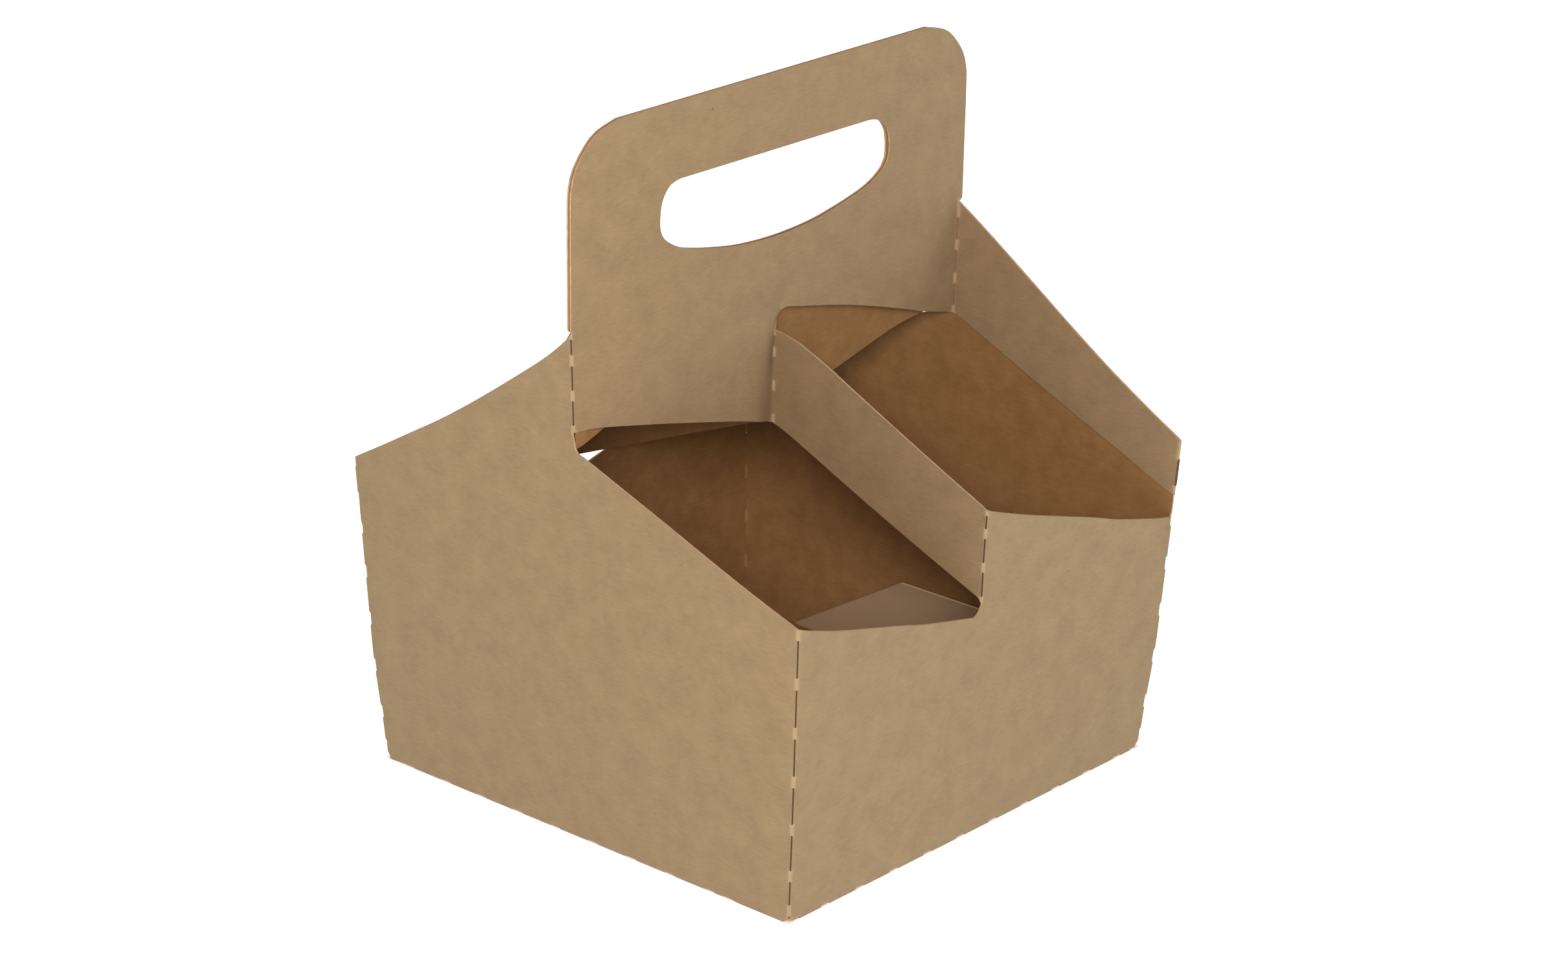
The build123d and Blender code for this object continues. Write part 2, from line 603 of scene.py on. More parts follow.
# Where one panel meets a fold: which side of it, and how its coordinates run.
class Edge:
    def __init__(self, fold, side, where, away, place):
        self.fold = fold
        self.side = side
        self.where = where
        self.away = away
        self.place = place


def uprightJoin(fold, side, line, inward):
    return Edge(
        fold,
        side,
        lambda p: p[:, 1],
        lambda p: inward * (p[:, 0] - line(p[:, 1])),
        lambda u, d: (float(line(np.array(u))) + inward * d, u),
    )


def bottomJoin(fold, side, direction=1):
    return Edge(
        fold,
        side,
        lambda p: direction * p[:, 0],
        lambda p: p[:, 1],
        lambda u, d: (direction * u, d),
    )


def surfaceNormal(surface, p):
    e = 0.05
    da = surface(p[:, 0] + e, p[:, 1]) - surface(p[:, 0] - e, p[:, 1])
    db = surface(p[:, 0], p[:, 1] + e) - surface(p[:, 0], p[:, 1] - e)
    return unit(np.cross(da, db))


# Positions of one layer of the board, bent round the folds that the panel meets.
def placeLayer(surface, edges, p, depth):
    flat = surface(p[:, 0], p[:, 1]) - depth * surfaceNormal(surface, p)
    total = flat.copy()
    for edge in edges:
        u = edge.where(p)
        d = edge.away(p)
        centre, toFirst, toSecond, middle, tangent = edge.fold.arc(u)
        toward = toFirst if edge.side == 0 else toSecond
        near = (d < tangent) & (d > -0.01)
        share = np.clip(1 - d / tangent, 0, 1)
        reach = edge.fold.radius + edge.fold.sign * depth
        bent = centre + reach * turnBetween(toward, middle, share)
        weight = (edge.fold.weight(u) * near)[:, None]
        total += weight * (bent - flat)
    return total


# One flat of the die-cut sheet, with both faces and its cut edges.
class Panel:
    def __init__(self, name, surface, outline, edges=(), holes=(), offset=0.0, step=None):
        step = step or sheetSettings["grid"]
        rings = [np.array(outline)] + [np.array(h) for h in holes]
        low, high = rings[0].min(0), rings[0].max(0)
        xs = np.arange(low[0] + step * 0.4, high[0], step)
        ys = np.arange(low[1] + step * 0.4, high[1], step)
        grid = np.array([(x, y) for y in ys for x in xs])
        keep = insidePolygon(grid, rings[0]) & (outlineDistance(grid, rings) > step * 0.45)
        for hole in rings[1:]:
            keep &= ~insidePolygon(grid, hole)
        for edge in edges:
            u, d = edge.where(grid), edge.away(grid)
            beside = (u > edge.fold.low) & (u < edge.fold.high) & (d < foldColumns[-1] + 0.8)
            keep &= ~beside
        grid = grid[keep]
        extra = []
        for edge in edges:
            extra += [edge.place(u, d) for u in edge.fold.rows() for d in foldColumns]
        if extra:
            extra = np.array(extra)
            fine = insidePolygon(extra, rings[0]) & (outlineDistance(extra, rings) > 0.1)
            grid = np.vstack([grid, extra[fine]])
        corners, bounds = [], []
        for ring in rings:
            first = len(corners)
            corners += [tuple(q) for q in ring]
            bounds += [(first + k, first + (k + 1) % len(ring)) for k in range(len(ring))]
        corners += [tuple(q) for q in grid]
        made = geometry.delaunay_2d_cdt([Vector(q) for q in corners], bounds, [], 0, 1e-4)
        flat = np.array([tuple(v) for v in made[0]])
        faces = np.array([f for f in made[2] if len(f) == 3])
        middles = flat[faces].mean(1)
        inside = insidePolygon(middles, rings[0])
        for hole in rings[1:]:
            inside &= ~insidePolygon(middles, hole)
        faces = faces[inside]
        a, b, c = (flat[faces[:, k]] for k in range(3))
        area = (b - a)[:, 0] * (c - a)[:, 1] - (b - a)[:, 1] * (c - a)[:, 0]
        faces = faces[np.abs(area) > 1e-6]
        area = area[np.abs(area) > 1e-6]
        faces[area < 0] = faces[area < 0][:, ::-1]
        self.name = name
        self.flat = flat
        self.faces = faces
        self.outer = placeLayer(surface, edges, flat, 0.0)
        self.inner = placeLayer(surface, edges, flat, board)
        self.uv = flat * metresPerMm + np.array([offset, 0.0])
        self.rims = self.openEdges(edges)
        self.pale = self.creasePale(edges)

    # 1 on the stretched fibres of a bridge, fading out beside it; this paler tone is partly a painted
    # highlight on the bend.
    def creasePale(self, edges):
        pale = np.zeros(len(self.flat))
        for edge in edges:
            u, d = edge.where(self.flat), np.abs(edge.away(self.flat))
            pale = np.maximum(pale, edge.fold.weight(u) * smooth(1.3, 0.2, d))
        return pale

    # Directed boundary edges, except where a bridge carries on into the next panel.
    def openEdges(self, edges):
        count = {}
        for f in self.faces:
            for k in range(3):
                pair = (int(f[k]), int(f[(k + 1) % 3]))
                count[pair] = count.get(pair, 0) + 1
        rims = [pair for pair in count if (pair[1], pair[0]) not in count]
        ends = self.flat[np.array(rims)]
        middle = ends.mean(1)
        keep = np.ones(len(rims), bool)
        for edge in edges:
            u = edge.where(middle)
            at = np.abs(edge.away(ends[:, 0])) < samePoint
            at &= np.abs(edge.away(ends[:, 1])) < samePoint
            bridge = (u > edge.fold.low) & (u < edge.fold.high)
            bridge &= np.array([not edge.fold.cut(x) for x in u])
            keep &= ~(at & bridge)
        slit = np.zeros(len(rims), bool)
        for edge in edges:
            u, d = edge.where(middle), np.abs(edge.away(middle))
            slit |= (d < 1.2) & (u > edge.fold.low + 0.5) & (u < edge.fold.high - 0.5)
        return [(*rims[k], bool(slit[k])) for k in np.flatnonzero(keep)]


# The same fold seen from the other half of the sheet.
def turnedFold(fold):
    copy = Fold.__new__(Fold)
    copy.__dict__.update(fold.__dict__)
    copy.arc = arcHalfTurn(fold.arc)
    return copy


# The end wall's foot: a fold where the dust flap hangs on, a free edge elsewhere.
def endBottomEdge():
    reach = halfY(0) - cornerCut
    fold = endBottomFold
    hung = [(-u, d) for u, d in fold.edge(fold.low, fold.high, slitGap)][::-1]
    return straight((-reach, 0.0), hung[0]) + hung + straight(hung[-1], (reach, 0.0))


# End wall: one half is high and turns into the handle ply, the other is low
def endWallPanel(turn):
    h = heights
    highCorner = linerFolds[turn].high
    cornerY = halfY(0)
    if turn > 0:
        highTop = [(0.66, 157.6), (-4.0, 153.0), (-11.0, 147.2), (-21.3, 139.7), (-31.6, 132.4)]
        highTop += [(-42.1, 125.2), (-52.8, 118.3), (-63.6, 111.9), (-74.7, 105.3)]
    else:
        highTop = [(0.66, 157.6), (-4.0, 154.8), (-14.2, 148.2), (-29.9, 137.6), (-45.3, 126.9)]
        highTop += [(-60.6, 116.6), (-75.7, 107.4), (-85.7, 101.9)]
    highTop += [(-reachY(highCorner), highCorner)]
    rightTop = (reachY(h["lowCorner"]), h["lowCorner"])
    notchHigh, notchLow = (linerGap + 0.3 - float(reachY(z)) for z in (82.4, 77.6))
    outline = joined(
        endBottomEdge(),
        [(cornerY - cornerCut, 0.0), (float(reachY(cornerCut)), cornerCut)],
        uprightEdge(lowCornerFold, cornerCut, h["lowCorner"], reachY, -1, slitGap),
        smoothCurve([rightTop, (57.8, 102.8), (28.3, 112.9), (3.9, 121.4)]),
        roundEnd((3.9, 124.65), 3.24, 270, 180),
        uprightEdge(plyFold, h["plyLow"], h["foldTop"], endFold, -1, slitGap),
        smoothCurve(highTop),
        uprightEdge(linerFolds[turn], h["linerLow"], highCorner, minusReachY, 1, linerGap)[::-1],
        straight((notchHigh, 82.4), (notchLow, 77.6)),
        uprightEdge(highCornerFold, cornerCut, h["sideCorner"], minusReachY, 1, slitGap)[::-1],
        [(-cornerY + cornerCut, 0.0)],
    )
    edges = (
        uprightJoin(lowCornerFold, 0, reachY, -1),
        uprightJoin(plyFold, 0, endFold, -1),
        uprightJoin(linerFolds[turn], 0, minusReachY, 1),
        uprightJoin(turnedFold(highCornerFold), 1, minusReachY, 1),
        bottomJoin(endBottomFold, 0, -1),
    )
    return Panel("end_wall", endWall, outline, edges)


# Dust flap, hinged to the foot of the end wall
def dustFlapPanel(turn):
    back, front = flapSettings["back"], flapSettings["front"]
    outline = joined(
        endBottomFold.edge(back, front, sheetSettings["flapGap"]),
        smoothCurve([(front, 1.5), (70.0, 9.0), (58.5, 34.5)]),
        roundEnd((53.0, 34.5), 3.0, 0, 90, 4),
        [(-1.0, 37.5)],
        straight((-2.5, 37.5), (-58.2, 1.2)),
    )
    return Panel("dust_flap", dustFlap, outline, (bottomJoin(endBottomFold, 1),), offset=0.5)


# Handle ply: its far half is glued to the other ply, and the strap is cut out of it
def handlePlyPanel(turn):
    h = heights
    drop = 0.0 if turn > 0 else -1.1
    fall = smoothCurve(
        [(float(plyLeft(h["plyLow"])), h["plyLow"]), (-76.0, 127.0 + 1.5 * drop)]
        + [(-56.9, 123.3 + 1.2 * drop), (-20.4, 114.4 + drop), (-6.0, 110.3 + drop / 2)]
        + [(0.0, h["strapLow"])]
    )
    linerFoot = (float(linerInner(np.array(h["linerFoldLow"]))), h["linerFoldLow"])
    slotTop = joined(
        [(0.6, 137.5)],
        roundEnd((3.9, 140.6), 3.3, 180, 92, 6),
        smoothCurve([(4.6, 143.85), (31.8, 137.7), (56.6, 130.4), (67.2, 126.7), linerFoot]),
    )
    rightSide = smoothCurve(
        [(87.2, 158.6), (87.3, 180.0), (87.3, 196.0), (86.9, 200.2), (85.1, 205.4), (80.4, 211.0)]
        + [(75.7, 214.2), (67.8, 216.3)]
    )
    leftSide = [(-x + 0.4, z) for x, z in rightSide][::-1]
    overStrap = sheetSettings["plyOverStrap"]
    outline = joined(
        fall,
        uprightEdge(strapFold, h["strapLow"], h["strapHigh"], zeroLine, -1, overStrap),
        slotTop,
        uprightEdge(linerPlyFold, h["linerFoldLow"], h["foldTop"], linerInner, -1, strapGap),
        rightSide,
        straight((67.8, 216.3), (-67.8, 216.3)),
        leftSide,
        uprightEdge(plyFold, h["plyLow"], h["foldTop"], plyLeft, 1, slitGap)[::-1],
    )
    edges = (
        uprightJoin(plyFold, 1, plyLeft, 1),
        uprightJoin(strapFold, 0, zeroLine, -1),
        uprightJoin(linerPlyFold, 0, linerInner, -1),
    )
    return Panel("handle_ply", handlePly, outline, edges, holes=(handHole(),), offset=1.0)


# Hand hole: straight above, a shallow bow below
def handHole():
    return joined(
        straight((-42.0, 193.2), (41.6, 192.9)),
        smoothCurve(
            [(41.6, 192.9), (45.8, 192.0), (49.2, 189.4), (51.0, 186.0), (51.3, 181.0)]
            + [(50.3, 178.0), (47.8, 175.5), (42.6, 172.8), (35.8, 170.9), (28.0, 169.2)]
            + [(15.7, 167.2), (0.0, 166.4), (-15.7, 167.2), (-28.0, 169.2), (-35.5, 170.9)]
            + [(-42.0, 172.8), (-47.0, 175.5), (-49.4, 178.0), (-50.3, 181.0)]
            + [(-50.0, 186.0), (-48.6, 189.6), (-45.8, 192.3), (-42.0, 193.2)]
        ),
    )


# Strap from the middle of the handle to the middle of the side wall
def strapPanel(turn):
    h = heights
    innerLow = (float(strapInner(h["strapLow"])), h["strapLow"])
    innerHigh = (float(strapInner(h["strapHigh"])), h["strapHigh"])
    outerLow = (float(strapOuter(np.array(h["strapOuterLow"]))), h["strapOuterLow"])
    outerHigh = (float(strapOuter(np.array(h["strapOuterHigh"]))), h["strapOuterHigh"])
    outline = joined(
        smoothCurve([innerLow, (15.9, 102.5), (80.2, 76.2)]),
        smoothCurve([(80.2, 76.2), (82.0, 75.3), outerLow], 0.7),
        uprightEdge(sideStrapFold, h["strapOuterLow"], h["strapOuterHigh"], strapOuter, -1, slitGap),
        smoothCurve([outerHigh, (31.4, 126.5), (24.9, 129.6)]),
        smoothCurve([(24.9, 129.6), (10.2, 135.4), innerHigh]),
        uprightEdge(strapFold, h["strapLow"], h["strapHigh"], strapInner, 1, strapGap)[::-1],
    )
    edges = (
        uprightJoin(strapFold, 1, strapInner, 1),
        uprightJoin(sideStrapFold, 0, strapOuter, -1),
    )
    return Panel("strap", strap, outline, edges, offset=1.5)


def sideFootEdge():
    return sideBottomFold.edge(-halfX(0) + cornerCut, halfX(0) - cornerCut, slitGap)


# Side wall: its right half rises to the strap, its left half is low
def sideWallPanel(turn):
    h = heights
    leftTop = (-float(reachX(h["lowCorner"])), h["lowCorner"])
    rightTop = (float(reachX(h["sideCorner"])), h["sideCorner"])
    strapTop = (sideCentre, h["strapOuterHigh"])
    outline = joined(
        sideFootEdge(),
        uprightEdge(highCornerFold, cornerCut, h["sideCorner"], reachX, -1, slitGap),
        smoothCurve([rightTop, (80.8, 77.6), (60.3, 82.9), (49.0, 86.6), (18.1, 96.1), strapTop]),
        uprightEdge(sideStrapFold, h["strapOuterLow"], h["strapOuterHigh"], sideFold, 1, slitGap)[
            ::-1
        ],
        roundEnd((-5.0, 73.6), 3.2, 0, -90),
        smoothCurve([(-5.0, 70.4), (-27.5, 75.6), (-40.8, 79.4), (-67.5, 86.8), leftTop]),
        uprightEdge(lowCornerFold, cornerCut, h["lowCorner"], minusReachX, 1, slitGap)[::-1],
    )
    edges = (
        uprightJoin(lowCornerFold, 1, minusReachX, 1),
        uprightJoin(highCornerFold, 0, reachX, -1),
        uprightJoin(sideStrapFold, 1, sideFold, 1),
        bottomJoin(sideBottomFold, 0),
    )
    return Panel("side_wall", sideWall, outline, edges, offset=2.0)


# Liner: its top edge follows the end wall of the other half, which it lies against
def linerPanel(turn):
    h = heights
    linerTopCorner = linerFolds[-turn].high
    if turn > 0:
        linerTop = [(85.7, 102.2), (75.7, 107.8), (60.6, 117.0), (45.3, 127.4), (29.9, 138.1)]
        linerTop += [(14.2, 148.7), (4.0, 155.2)]
    else:
        linerTop = [(74.7, 105.0), (63.6, 111.6), (52.8, 118.0), (42.1, 124.9), (31.6, 132.1)]
        linerTop += [(21.3, 139.4), (11.0, 146.9), (4.0, 152.6)]
    topCorner = (float(reachY(linerTopCorner)), linerTopCorner)
    lowCorner = (float(reachY(h["linerLow"])), h["linerLow"])
    innerFoot = (-plyFront, h["linerFoldLow"])
    innerTop = (-plyFront, h["foldTop"])
    outline = joined(
        smoothCurve([innerFoot, (9.8, 118.3), (58.1, 96.5), (68.5, 91.8), (77.5, 87.4), lowCorner]),
        uprightEdge(linerFolds[-turn], h["linerLow"], linerTopCorner, reachY, -1, linerGap),
        smoothCurve([topCorner] + linerTop + [innerTop]),
        uprightEdge(linerPlyFold, h["linerFoldLow"], h["foldTop"], endFold, 1, strapGap)[::-1],
    )
    edges = (
        uprightJoin(linerPlyFold, 1, endFold, 1),
        uprightJoin(turnedFold(linerFolds[-turn]), 1, reachY, -1),
    )
    return Panel("liner", liner, outline, edges, offset=2.5)


# Floor flap: the second half's flap laps over the first's
def floorFlapPanel(turn):
    depth = 93.0
    outline = joined(
        [(-u, d) for u, d in sideFootEdge()][::-1],
        straight((-sideBottomFold.low, 0.0), (81.6, 3.0)),
        straight((81.6, 3.0), (81.6, 23.0)),
        straight((81.0, 26.0), (80.6, depth)),
        straight((80.6, depth), (-80.6, depth)),
        straight((-80.6, depth), (-81.0, 10.0)),
        straight((-81.6, 7.0), (-81.6, 3.0)),
    )
    surface = floorLower if turn > 0 else floorUpper
    edges = (bottomJoin(sideBottomFold, 1, -1),)
    return Panel(
        "floor_flap", surface, outline, edges, offset=3.0, step=sheetSettings["floorGrid"]
    )


panelMakers = (
    endWallPanel,
    dustFlapPanel,
    handlePlyPanel,
    strapPanel,
    sideWallPanel,
    linerPanel,
    floorFlapPanel,
)


outerFace, innerFace, cutEdge, slitShadeEdge = range(4)


# Both halves of the sheet in one mesh: outer layer, inner layer and the cut edges between.
def buildSheet():
    points, faces, slots, uvs, pale = [], [], [], [], []
    base = 0
    for turn in (1, -1):
        for makePanel in panelMakers:
            panel = makePanel(turn)
            count = len(panel.flat)
            layers = np.vstack([panel.outer, panel.inner])
            points.append(layers if turn > 0 else halfTurn(layers))
            # The dust flap is painted paler all over, as painted light on its face
            flapPaintedLight = flapSettings["pale"] if panel.name == "dust_flap" else 0.0
            pale.append(np.maximum(np.concatenate([panel.pale, panel.pale]), flapPaintedLight))
            shift = np.array([0.0, 0.0 if turn > 0 else sheetSettings["secondHalfShift"]])
            uv = panel.uv + shift
            for f in panel.faces:
                faces.append([base + int(k) for k in f])
                slots.append(outerFace)
                uvs += [tuple(uv[k]) for k in f]
            for f in panel.faces:
                faces.append([base + count + int(k) for k in f[::-1]])
                slots.append(innerFace)
                uvs += [tuple(uv[k]) for k in f[::-1]]
            run = 0.0
            for i, j, slit in panel.rims:
                length = float(np.linalg.norm(panel.flat[i] - panel.flat[j])) * metresPerMm
                faces.append([base + j, base + i, base + count + i, base + count + j])
                # Cut faces inside the slits take the dark painted-shade material
                slots.append(slitShadeEdge if slit else cutEdge)
                thick = board * metresPerMm
                uvs += [(run + length, 0.0), (run, 0.0), (run, thick), (run + length, thick)]
                run += length
            base += 2 * count
            print("panel", panel.name, count, "points", len(panel.faces), "triangles")
    mesh = bpy.data.meshes.new("carrier_sheet")
    mesh.from_pydata((np.vstack(points) * metresPerMm).tolist(), [], faces)
    layer = mesh.uv_layers.new(name="flat_sheet")
    layer.data.foreach_set("uv", np.array(uvs, np.float32).ravel())
    mesh.polygons.foreach_set("material_index", np.array(slots, np.int32))
    # Share of the paler tone per point: fold bridges (stretched fibres and painted highlight) and the
    # dust flap (painted light)
    crease = mesh.attributes.new("crease", "FLOAT", "POINT")
    crease.data.foreach_set("value", np.concatenate(pale).astype(np.float32))
    mesh.update()
    piece = bpy.data.objects.new("carrier_sheet", mesh)
    bpy.context.scene.collection.objects.link(piece)
    return piece


# Joins the bridges of neighbouring panels and shades the bends smooth.
def weldBridges(piece):
    work = bmesh.new()
    work.from_mesh(piece.data)
    before = len(work.verts)
    distance = sheetSettings["weldDistance"] * metresPerMm
    bmesh.ops.remove_doubles(work, verts=work.verts, dist=distance)
    print("welded", before - len(work.verts), "points")
    work.to_mesh(piece.data)
    work.free()
    for polygon in piece.data.polygons:
        polygon.use_smooth = True
    piece.data.set_sharp_from_angle(angle=math.radians(sheetSettings["sharpAngle"]))


piece = buildSheet()
weldBridges(piece)
print("sheet", len(piece.data.polygons), "faces")
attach(piece, "root")
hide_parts("cup_carrier")


# An sRGB hex colour as the linear values that a shader socket takes.
def linear(hexColour):
    value = hexColour.lstrip("#")
    channels = [int(value[k : k + 2], 16) / 255 for k in (0, 2, 4)]
    return tuple(
        c / 12.92 if c <= 0.04045 else ((c + 0.055) / 1.055) ** 2.4 for c in channels
    ) + (1.0,)


# One node with its own settings, then its inputs as values or as links.
def addNode(tree, kind, inputs=None, **settings):
    node = tree.nodes.new(kind)
    for name, value in settings.items():
        setattr(node, name, value)
    for name, value in (inputs or {}).items():
        socket = node.inputs[name]
        if isinstance(value, bpy.types.NodeSocket):
            tree.links.new(value, socket)
        else:
            socket.default_value = value
    return node


# A material with an empty node tree.
def newMaterial(name):
    material = bpy.data.materials.new(name)
    material.use_nodes = True
    material.node_tree.nodes.clear()
    return material, material.node_tree


# Pattern scale for features of this size in millimetres, on coordinates in metres.
def perMm(size):
    return 1.0 / (size * metresPerMm)


# Unbleached kraft board, calendered on the outside: dull tan with soft clouds and pale fibres
outerSettings = {
    "light": "#827456",
    "dark": "#796B50",
    "fibre": "#918365",
    "speck": "#4A3826",
    "stretched": "#B4A588",
    "crease": 0.22,
    "cloud": 9.0,
    "grain": 0.55,
    "roughness": 0.82,
}
# The rougher inside ply, of unscreened pulp: browner and a little deeper in tone
innerSettings = {
    "light": "#806640",
    "dark": "#735935",
    "fibre": "#8F7650",
    "speck": "#3B2814",
    "stretched": "#A08660",
    "crease": 0.08,
    "cloud": 8.0,
    "grain": 0.7,
    "roughness": 0.86,
}
# Die-cut edge, where the torn pulp shows, made paler still as a painted highlight: a fine pale line
# round every panel
edgeHighlightSettings = {
    "light": "#B09F80",
    "dark": "#927F62",
    "fibre": "#BBAB8C",
    "speck": "#5A4631",
    "stretched": "#B5A586",
    "crease": 0.2,
    "cloud": 5.0,
    "grain": 0.25,
    "roughness": 0.9,
}
# Cut edge inside a slit along a fold, painted dark as the shade in the narrow cut: it reads as a dark
# stitch line
slitShadeSettings = {
    "light": "#57442E",
    "dark": "#3E2F1E",
    "fibre": "#6B563C",
    "speck": "#2A1E12",
    "stretched": "#6B563C",
    "crease": 0.2,
    "cloud": 4.0,
    "grain": 0.25,
    "roughness": 0.95,
}
# Pulp pattern that all four share, with sizes in millimetres
pulpSettings = {
    "cloudBand": (0.3, 0.7),
    "grainLength": 6.0,
    "grainStretch": 5.0,
    "grainBand": (0.35, 0.65),
    "grainTone": (0.93, 1.07),
    "fibreSize": 7.0,
    "fibreStretch": 7.0,
    "fibreBand": (0.10, 0.04),
    "fibreShare": 0.32,
    "bendSize": 9.0,
    "speckSize": 16.0,
    "speckBand": (0.030, 0.014),
    "speckShare": 0.55,
    "bumpDepth": 0.04,
    "bumpStrength": 0.5,
    "specular": 0.25,
}


def kraftMaterial(name, settings):
    material, tree = newMaterial(name)
    pulp = pulpSettings
    place = addNode(tree, "ShaderNodeTexCoord").outputs["UV"]
    # Clouding where the pulp lay thicker or thinner
    cloud = addNode(
        tree,
        "ShaderNodeTexNoise",
        {"Vector": place, "Scale": perMm(settings["cloud"]), "Detail": 5.0, "Roughness": 0.6},
    )
    low, high = pulp["cloudBand"]
    cloudShare = addNode(
        tree,
        "ShaderNodeMapRange",
        {"Value": cloud.outputs["Fac"], "From Min": low, "From Max": high},
    )
    darkBoard, lightBoard = linear(settings["dark"]), linear(settings["light"])
    toned = addNode(
        tree,
        "ShaderNodeMix",
        {"Factor": cloudShare.outputs["Result"], "A": darkBoard, "B": lightBoard},
        data_type="RGBA",
    )
    # Fine grain, which lies mostly along the length of the sheet
    grainSpace = addNode(
        tree, "ShaderNodeMapping", {"Vector": place, "Scale": (1.0, pulp["grainStretch"], 1.0)}
    )
    grainScale = perMm(settings["grain"] * pulp["grainLength"])
    grain = addNode(
        tree,
        "ShaderNodeTexNoise",
        {
            "Vector": grainSpace.outputs["Vector"],
            "Scale": grainScale,
            "Detail": 4.0,
            "Roughness": 0.7,
        },
    )
    low, high = pulp["grainBand"]
    lowTone, highTone = pulp["grainTone"]
    grainTone = addNode(
        tree,
        "ShaderNodeMapRange",
        {
            "Value": grain.outputs["Fac"],
            "From Min": low,
            "From Max": high,
            "To Min": lowTone,
            "To Max": highTone,
        },
    )
    grained = addNode(
        tree,
        "ShaderNodeMix",
        {"Factor": 1.0, "A": toned.outputs["Result"], "B": grainTone.outputs["Result"]},
        data_type="RGBA",
        blend_type="MULTIPLY",
    )
    # Single pale fibres, scattered and bent by the square of a slow noise
    bend = addNode(
        tree, "ShaderNodeTexNoise", {"Vector": place, "Scale": perMm(pulp["bendSize"]), "Detail": 1.0}
    )
    bent = addNode(
        tree,
        "ShaderNodeVectorMath",
        {0: bend.outputs["Color"], 1: bend.outputs["Color"], 2: place},
        operation="MULTIPLY_ADD",
    )
    fibreSpace = addNode(
        tree,
        "ShaderNodeMapping",
        {"Vector": bent.outputs["Vector"], "Scale": (1.0, pulp["fibreStretch"], 1.0)},
    )
    fibre = addNode(
        tree,
        "ShaderNodeTexVoronoi",
        {
            "Vector": fibreSpace.outputs["Vector"],
            "Scale": perMm(pulp["fibreSize"]),
            "Randomness": 1.0,
        },
    )
    low, high = pulp["fibreBand"]
    fibreMask = addNode(
        tree,
        "ShaderNodeMapRange",
        {
            "Value": fibre.outputs["Distance"],
            "From Min": low,
            "From Max": high,
            "To Max": pulp["fibreShare"],
        },
    )
    fibred = addNode(
        tree,
        "ShaderNodeMix",
        {
            "Factor": fibreMask.outputs["Result"],
            "A": grained.outputs["Result"],
            "B": linear(settings["fibre"]),
        },
        data_type="RGBA",
    )
    # Paler where the bridges of a fold are stretched, partly as a painted highlight on the bend, and
    # over the whole dust flap as painted light
    crease = addNode(tree, "ShaderNodeAttribute", attribute_name="crease")
    creaseAndLightMask = addNode(
        tree,
        "ShaderNodeMath",
        {0: crease.outputs["Fac"], 1: settings["crease"]},
        operation="MULTIPLY",
    )
    creasedAndLit = addNode(
        tree,
        "ShaderNodeMix",
        {
            "Factor": creaseAndLightMask.outputs["Value"],
            "A": fibred.outputs["Result"],
            "B": linear(settings["stretched"]),
        },
        data_type="RGBA",
    )
    # Few dark specks of bark
    speck = addNode(
        tree,
        "ShaderNodeTexVoronoi",
        {"Vector": place, "Scale": perMm(pulp["speckSize"]), "Randomness": 1.0},
    )
    low, high = pulp["speckBand"]
    speckMask = addNode(
        tree,
        "ShaderNodeMapRange",
        {
            "Value": speck.outputs["Distance"],
            "From Min": low,
            "From Max": high,
            "To Max": pulp["speckShare"],
        },
    )
    specked = addNode(
        tree,
        "ShaderNodeMix",
        {
            "Factor": speckMask.outputs["Result"],
            "A": creasedAndLit.outputs["Result"],
            "B": linear(settings["speck"]),
        },
        data_type="RGBA",
    )
    # The grain in relief, fine enough to break the sheen only
    bump = addNode(
        tree,
        "ShaderNodeBump",
        {
            "Strength": pulp["bumpStrength"],
            "Distance": pulp["bumpDepth"] * metresPerMm,
            "Height": grain.outputs["Fac"],
        },
    )
    shader = addNode(
        tree,
        "ShaderNodeBsdfPrincipled",
        {
            "Base Color": specked.outputs["Result"],
            "Roughness": settings["roughness"],
            "Specular IOR Level": pulp["specular"],
            "Normal": bump.outputs["Normal"],
        },
    )
    addNode(tree, "ShaderNodeOutputMaterial", {"Surface": shader.outputs["BSDF"]})
    return material


piece.data.materials.append(kraftMaterial("kraft_board_outer_face", outerSettings))
piece.data.materials.append(kraftMaterial("kraft_board_inner_face", innerSettings))
piece.data.materials.append(kraftMaterial("kraft_board_cut_edge", edgeHighlightSettings))
piece.data.materials.append(kraftMaterial("kraft_board_slit_edge", slitShadeSettings))
print("materials", len(piece.data.materials))

# Floor, world and light; the shade is half the footprint, where the floor has no glow
stageSettings = {
    "floor": "#F7F7F6",
    "floorRoughness": 0.9,
    "floorSize": 12000.0,
    "world": "#FFDDDA",
    "worldStrength": 0.36,
    "seen": "#FFFFFF",
    "glow": "#E2FAFF",
    "glowStrength": 0.95,
    "shade": (82.6, 81.5),
    "aimHeight": 90.0,
    "lamp": "#FFE4DC",
    "lampSize": 300.0,
    "lampPower": 18.9,
    "lampRise": 92.0,
    "boxSize": 1200.0,
    "boxes": (
        ("front_box", (900.0, -1600.0, 900.0), 7.5, "#FFFFFF"),
        ("back_box", (1300.0, 1500.0, 1100.0), 13.0, "#FFE9DF"),
    ),
}


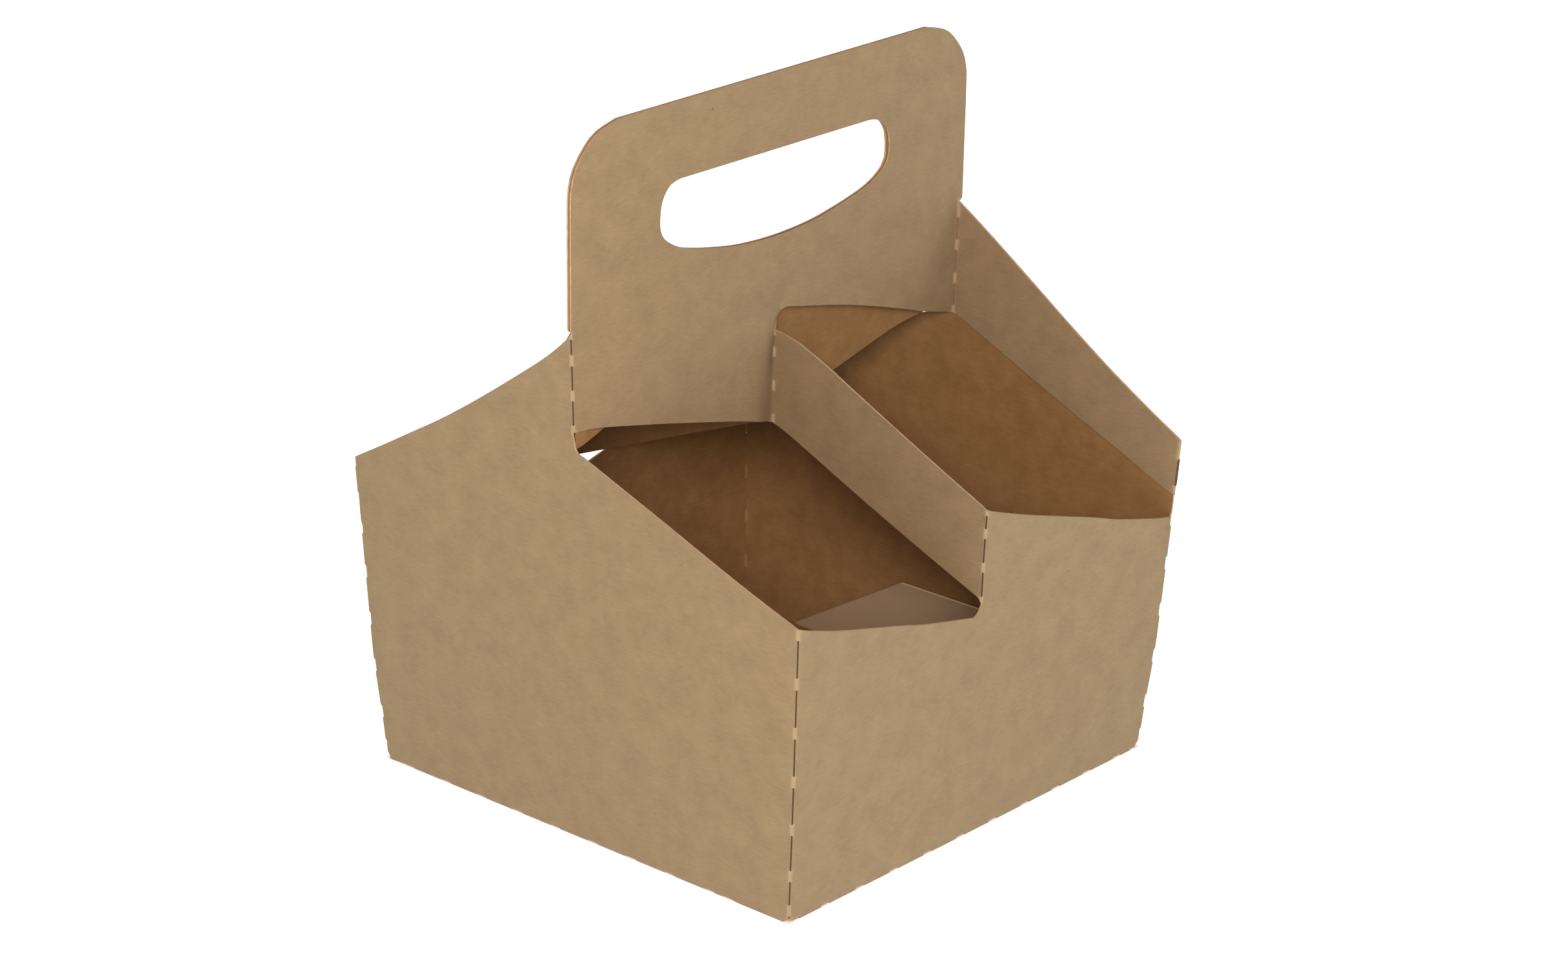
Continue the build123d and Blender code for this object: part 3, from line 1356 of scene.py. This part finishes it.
# Matt white paper: the floor that the photograph burns out to plain white
def floorMaterial():
    material, tree = newMaterial("matt_white_paper_floor")
    # No glow under the carrier, where the board lies on the floor
    place = addNode(tree, "ShaderNodeTexCoord").outputs["Object"]
    halfLength, halfWidth = (size * metresPerMm for size in stageSettings["shade"])
    share = addNode(
        tree,
        "ShaderNodeVectorMath",
        {0: place, 1: (halfLength, halfWidth, 1.0)},
        operation="DIVIDE",
    )
    mirrored = addNode(
        tree, "ShaderNodeVectorMath", {0: share.outputs["Vector"]}, operation="ABSOLUTE"
    )
    apart = addNode(tree, "ShaderNodeSeparateXYZ", {"Vector": mirrored.outputs["Vector"]})
    reach = addNode(
        tree,
        "ShaderNodeMath",
        {0: apart.outputs["X"], 1: apart.outputs["Y"]},
        operation="MAXIMUM",
    )
    outside = addNode(
        tree, "ShaderNodeMath", {0: reach.outputs["Value"], 1: 1.0}, operation="GREATER_THAN"
    )
    strength = addNode(
        tree,
        "ShaderNodeMath",
        {0: outside.outputs["Value"], 1: stageSettings["glowStrength"]},
        operation="MULTIPLY",
    )
    shader = addNode(
        tree,
        "ShaderNodeBsdfPrincipled",
        {
            "Base Color": linear(stageSettings["floor"]),
            "Roughness": stageSettings["floorRoughness"],
            "Emission Color": linear(stageSettings["glow"]),
            "Emission Strength": strength.outputs["Value"],
        },
    )
    addNode(tree, "ShaderNodeOutputMaterial", {"Surface": shader.outputs["BSDF"]})
    return material


def makeFloor():
    size = stageSettings["floorSize"] / 2 * metresPerMm
    mesh = bpy.data.meshes.new("studio_floor")
    mesh.from_pydata(
        [(-size, -size, 0), (size, -size, 0), (size, size, 0), (-size, size, 0)],
        [],
        [(0, 1, 2, 3)],
    )
    floor = bpy.data.objects.new("studio_floor", mesh)
    bpy.context.scene.collection.objects.link(floor)
    mesh.materials.append(floorMaterial())


# The room lights the carrier weakly, while the camera sees it as white paper
def makeWorld():
    world = bpy.data.worlds.new("white_room")
    world.use_nodes = True
    tree = world.node_tree
    tree.nodes.clear()
    room = addNode(
        tree,
        "ShaderNodeBackground",
        {"Color": linear(stageSettings["world"]), "Strength": stageSettings["worldStrength"]},
    )
    paper = addNode(
        tree, "ShaderNodeBackground", {"Color": linear(stageSettings["seen"]), "Strength": 1.0}
    )
    rays = addNode(tree, "ShaderNodeLightPath")
    mixed = addNode(
        tree,
        "ShaderNodeMixShader",
        {
            "Fac": rays.outputs["Is Camera Ray"],
            1: room.outputs["Background"],
            2: paper.outputs["Background"],
        },
    )
    addNode(tree, "ShaderNodeOutputWorld", {"Surface": mixed.outputs["Shader"]})
    bpy.context.scene.world = world


def addLight(name, shape, size, power, colour, place, towards):
    data = bpy.data.lights.new(name, "AREA")
    data.shape = shape
    data.size = size * metresPerMm
    data.energy = power
    data.color = linear(colour)[:3]
    light = bpy.data.objects.new(name, data)
    light.location = place
    light.rotation_mode = "QUATERNION"
    light.rotation_quaternion = (place - towards).to_track_quat("Z", "Y")
    bpy.context.scene.collection.objects.link(light)


def makeLights():
    aim = Vector((0, 0, stageSettings["aimHeight"] * metresPerMm))
    # A round diffuser just above the camera, and two soft boxes behind and in front
    place = Vector(cameraSettings["position"]) * metresPerMm
    place += Vector((0, 0, stageSettings["lampRise"] * metresPerMm))
    size, power = stageSettings["lampSize"], stageSettings["lampPower"]
    addLight("key_light", "DISK", size, power, stageSettings["lamp"], place, aim)
    for name, corner, power, colour in stageSettings["boxes"]:
        place = Vector(corner) * metresPerMm
        addLight(name, "SQUARE", stageSettings["boxSize"], power, colour, place, aim)


makeFloor()
makeWorld()
makeLights()
bpy.context.scene.view_settings.view_transform = "Standard"
print("stage set")
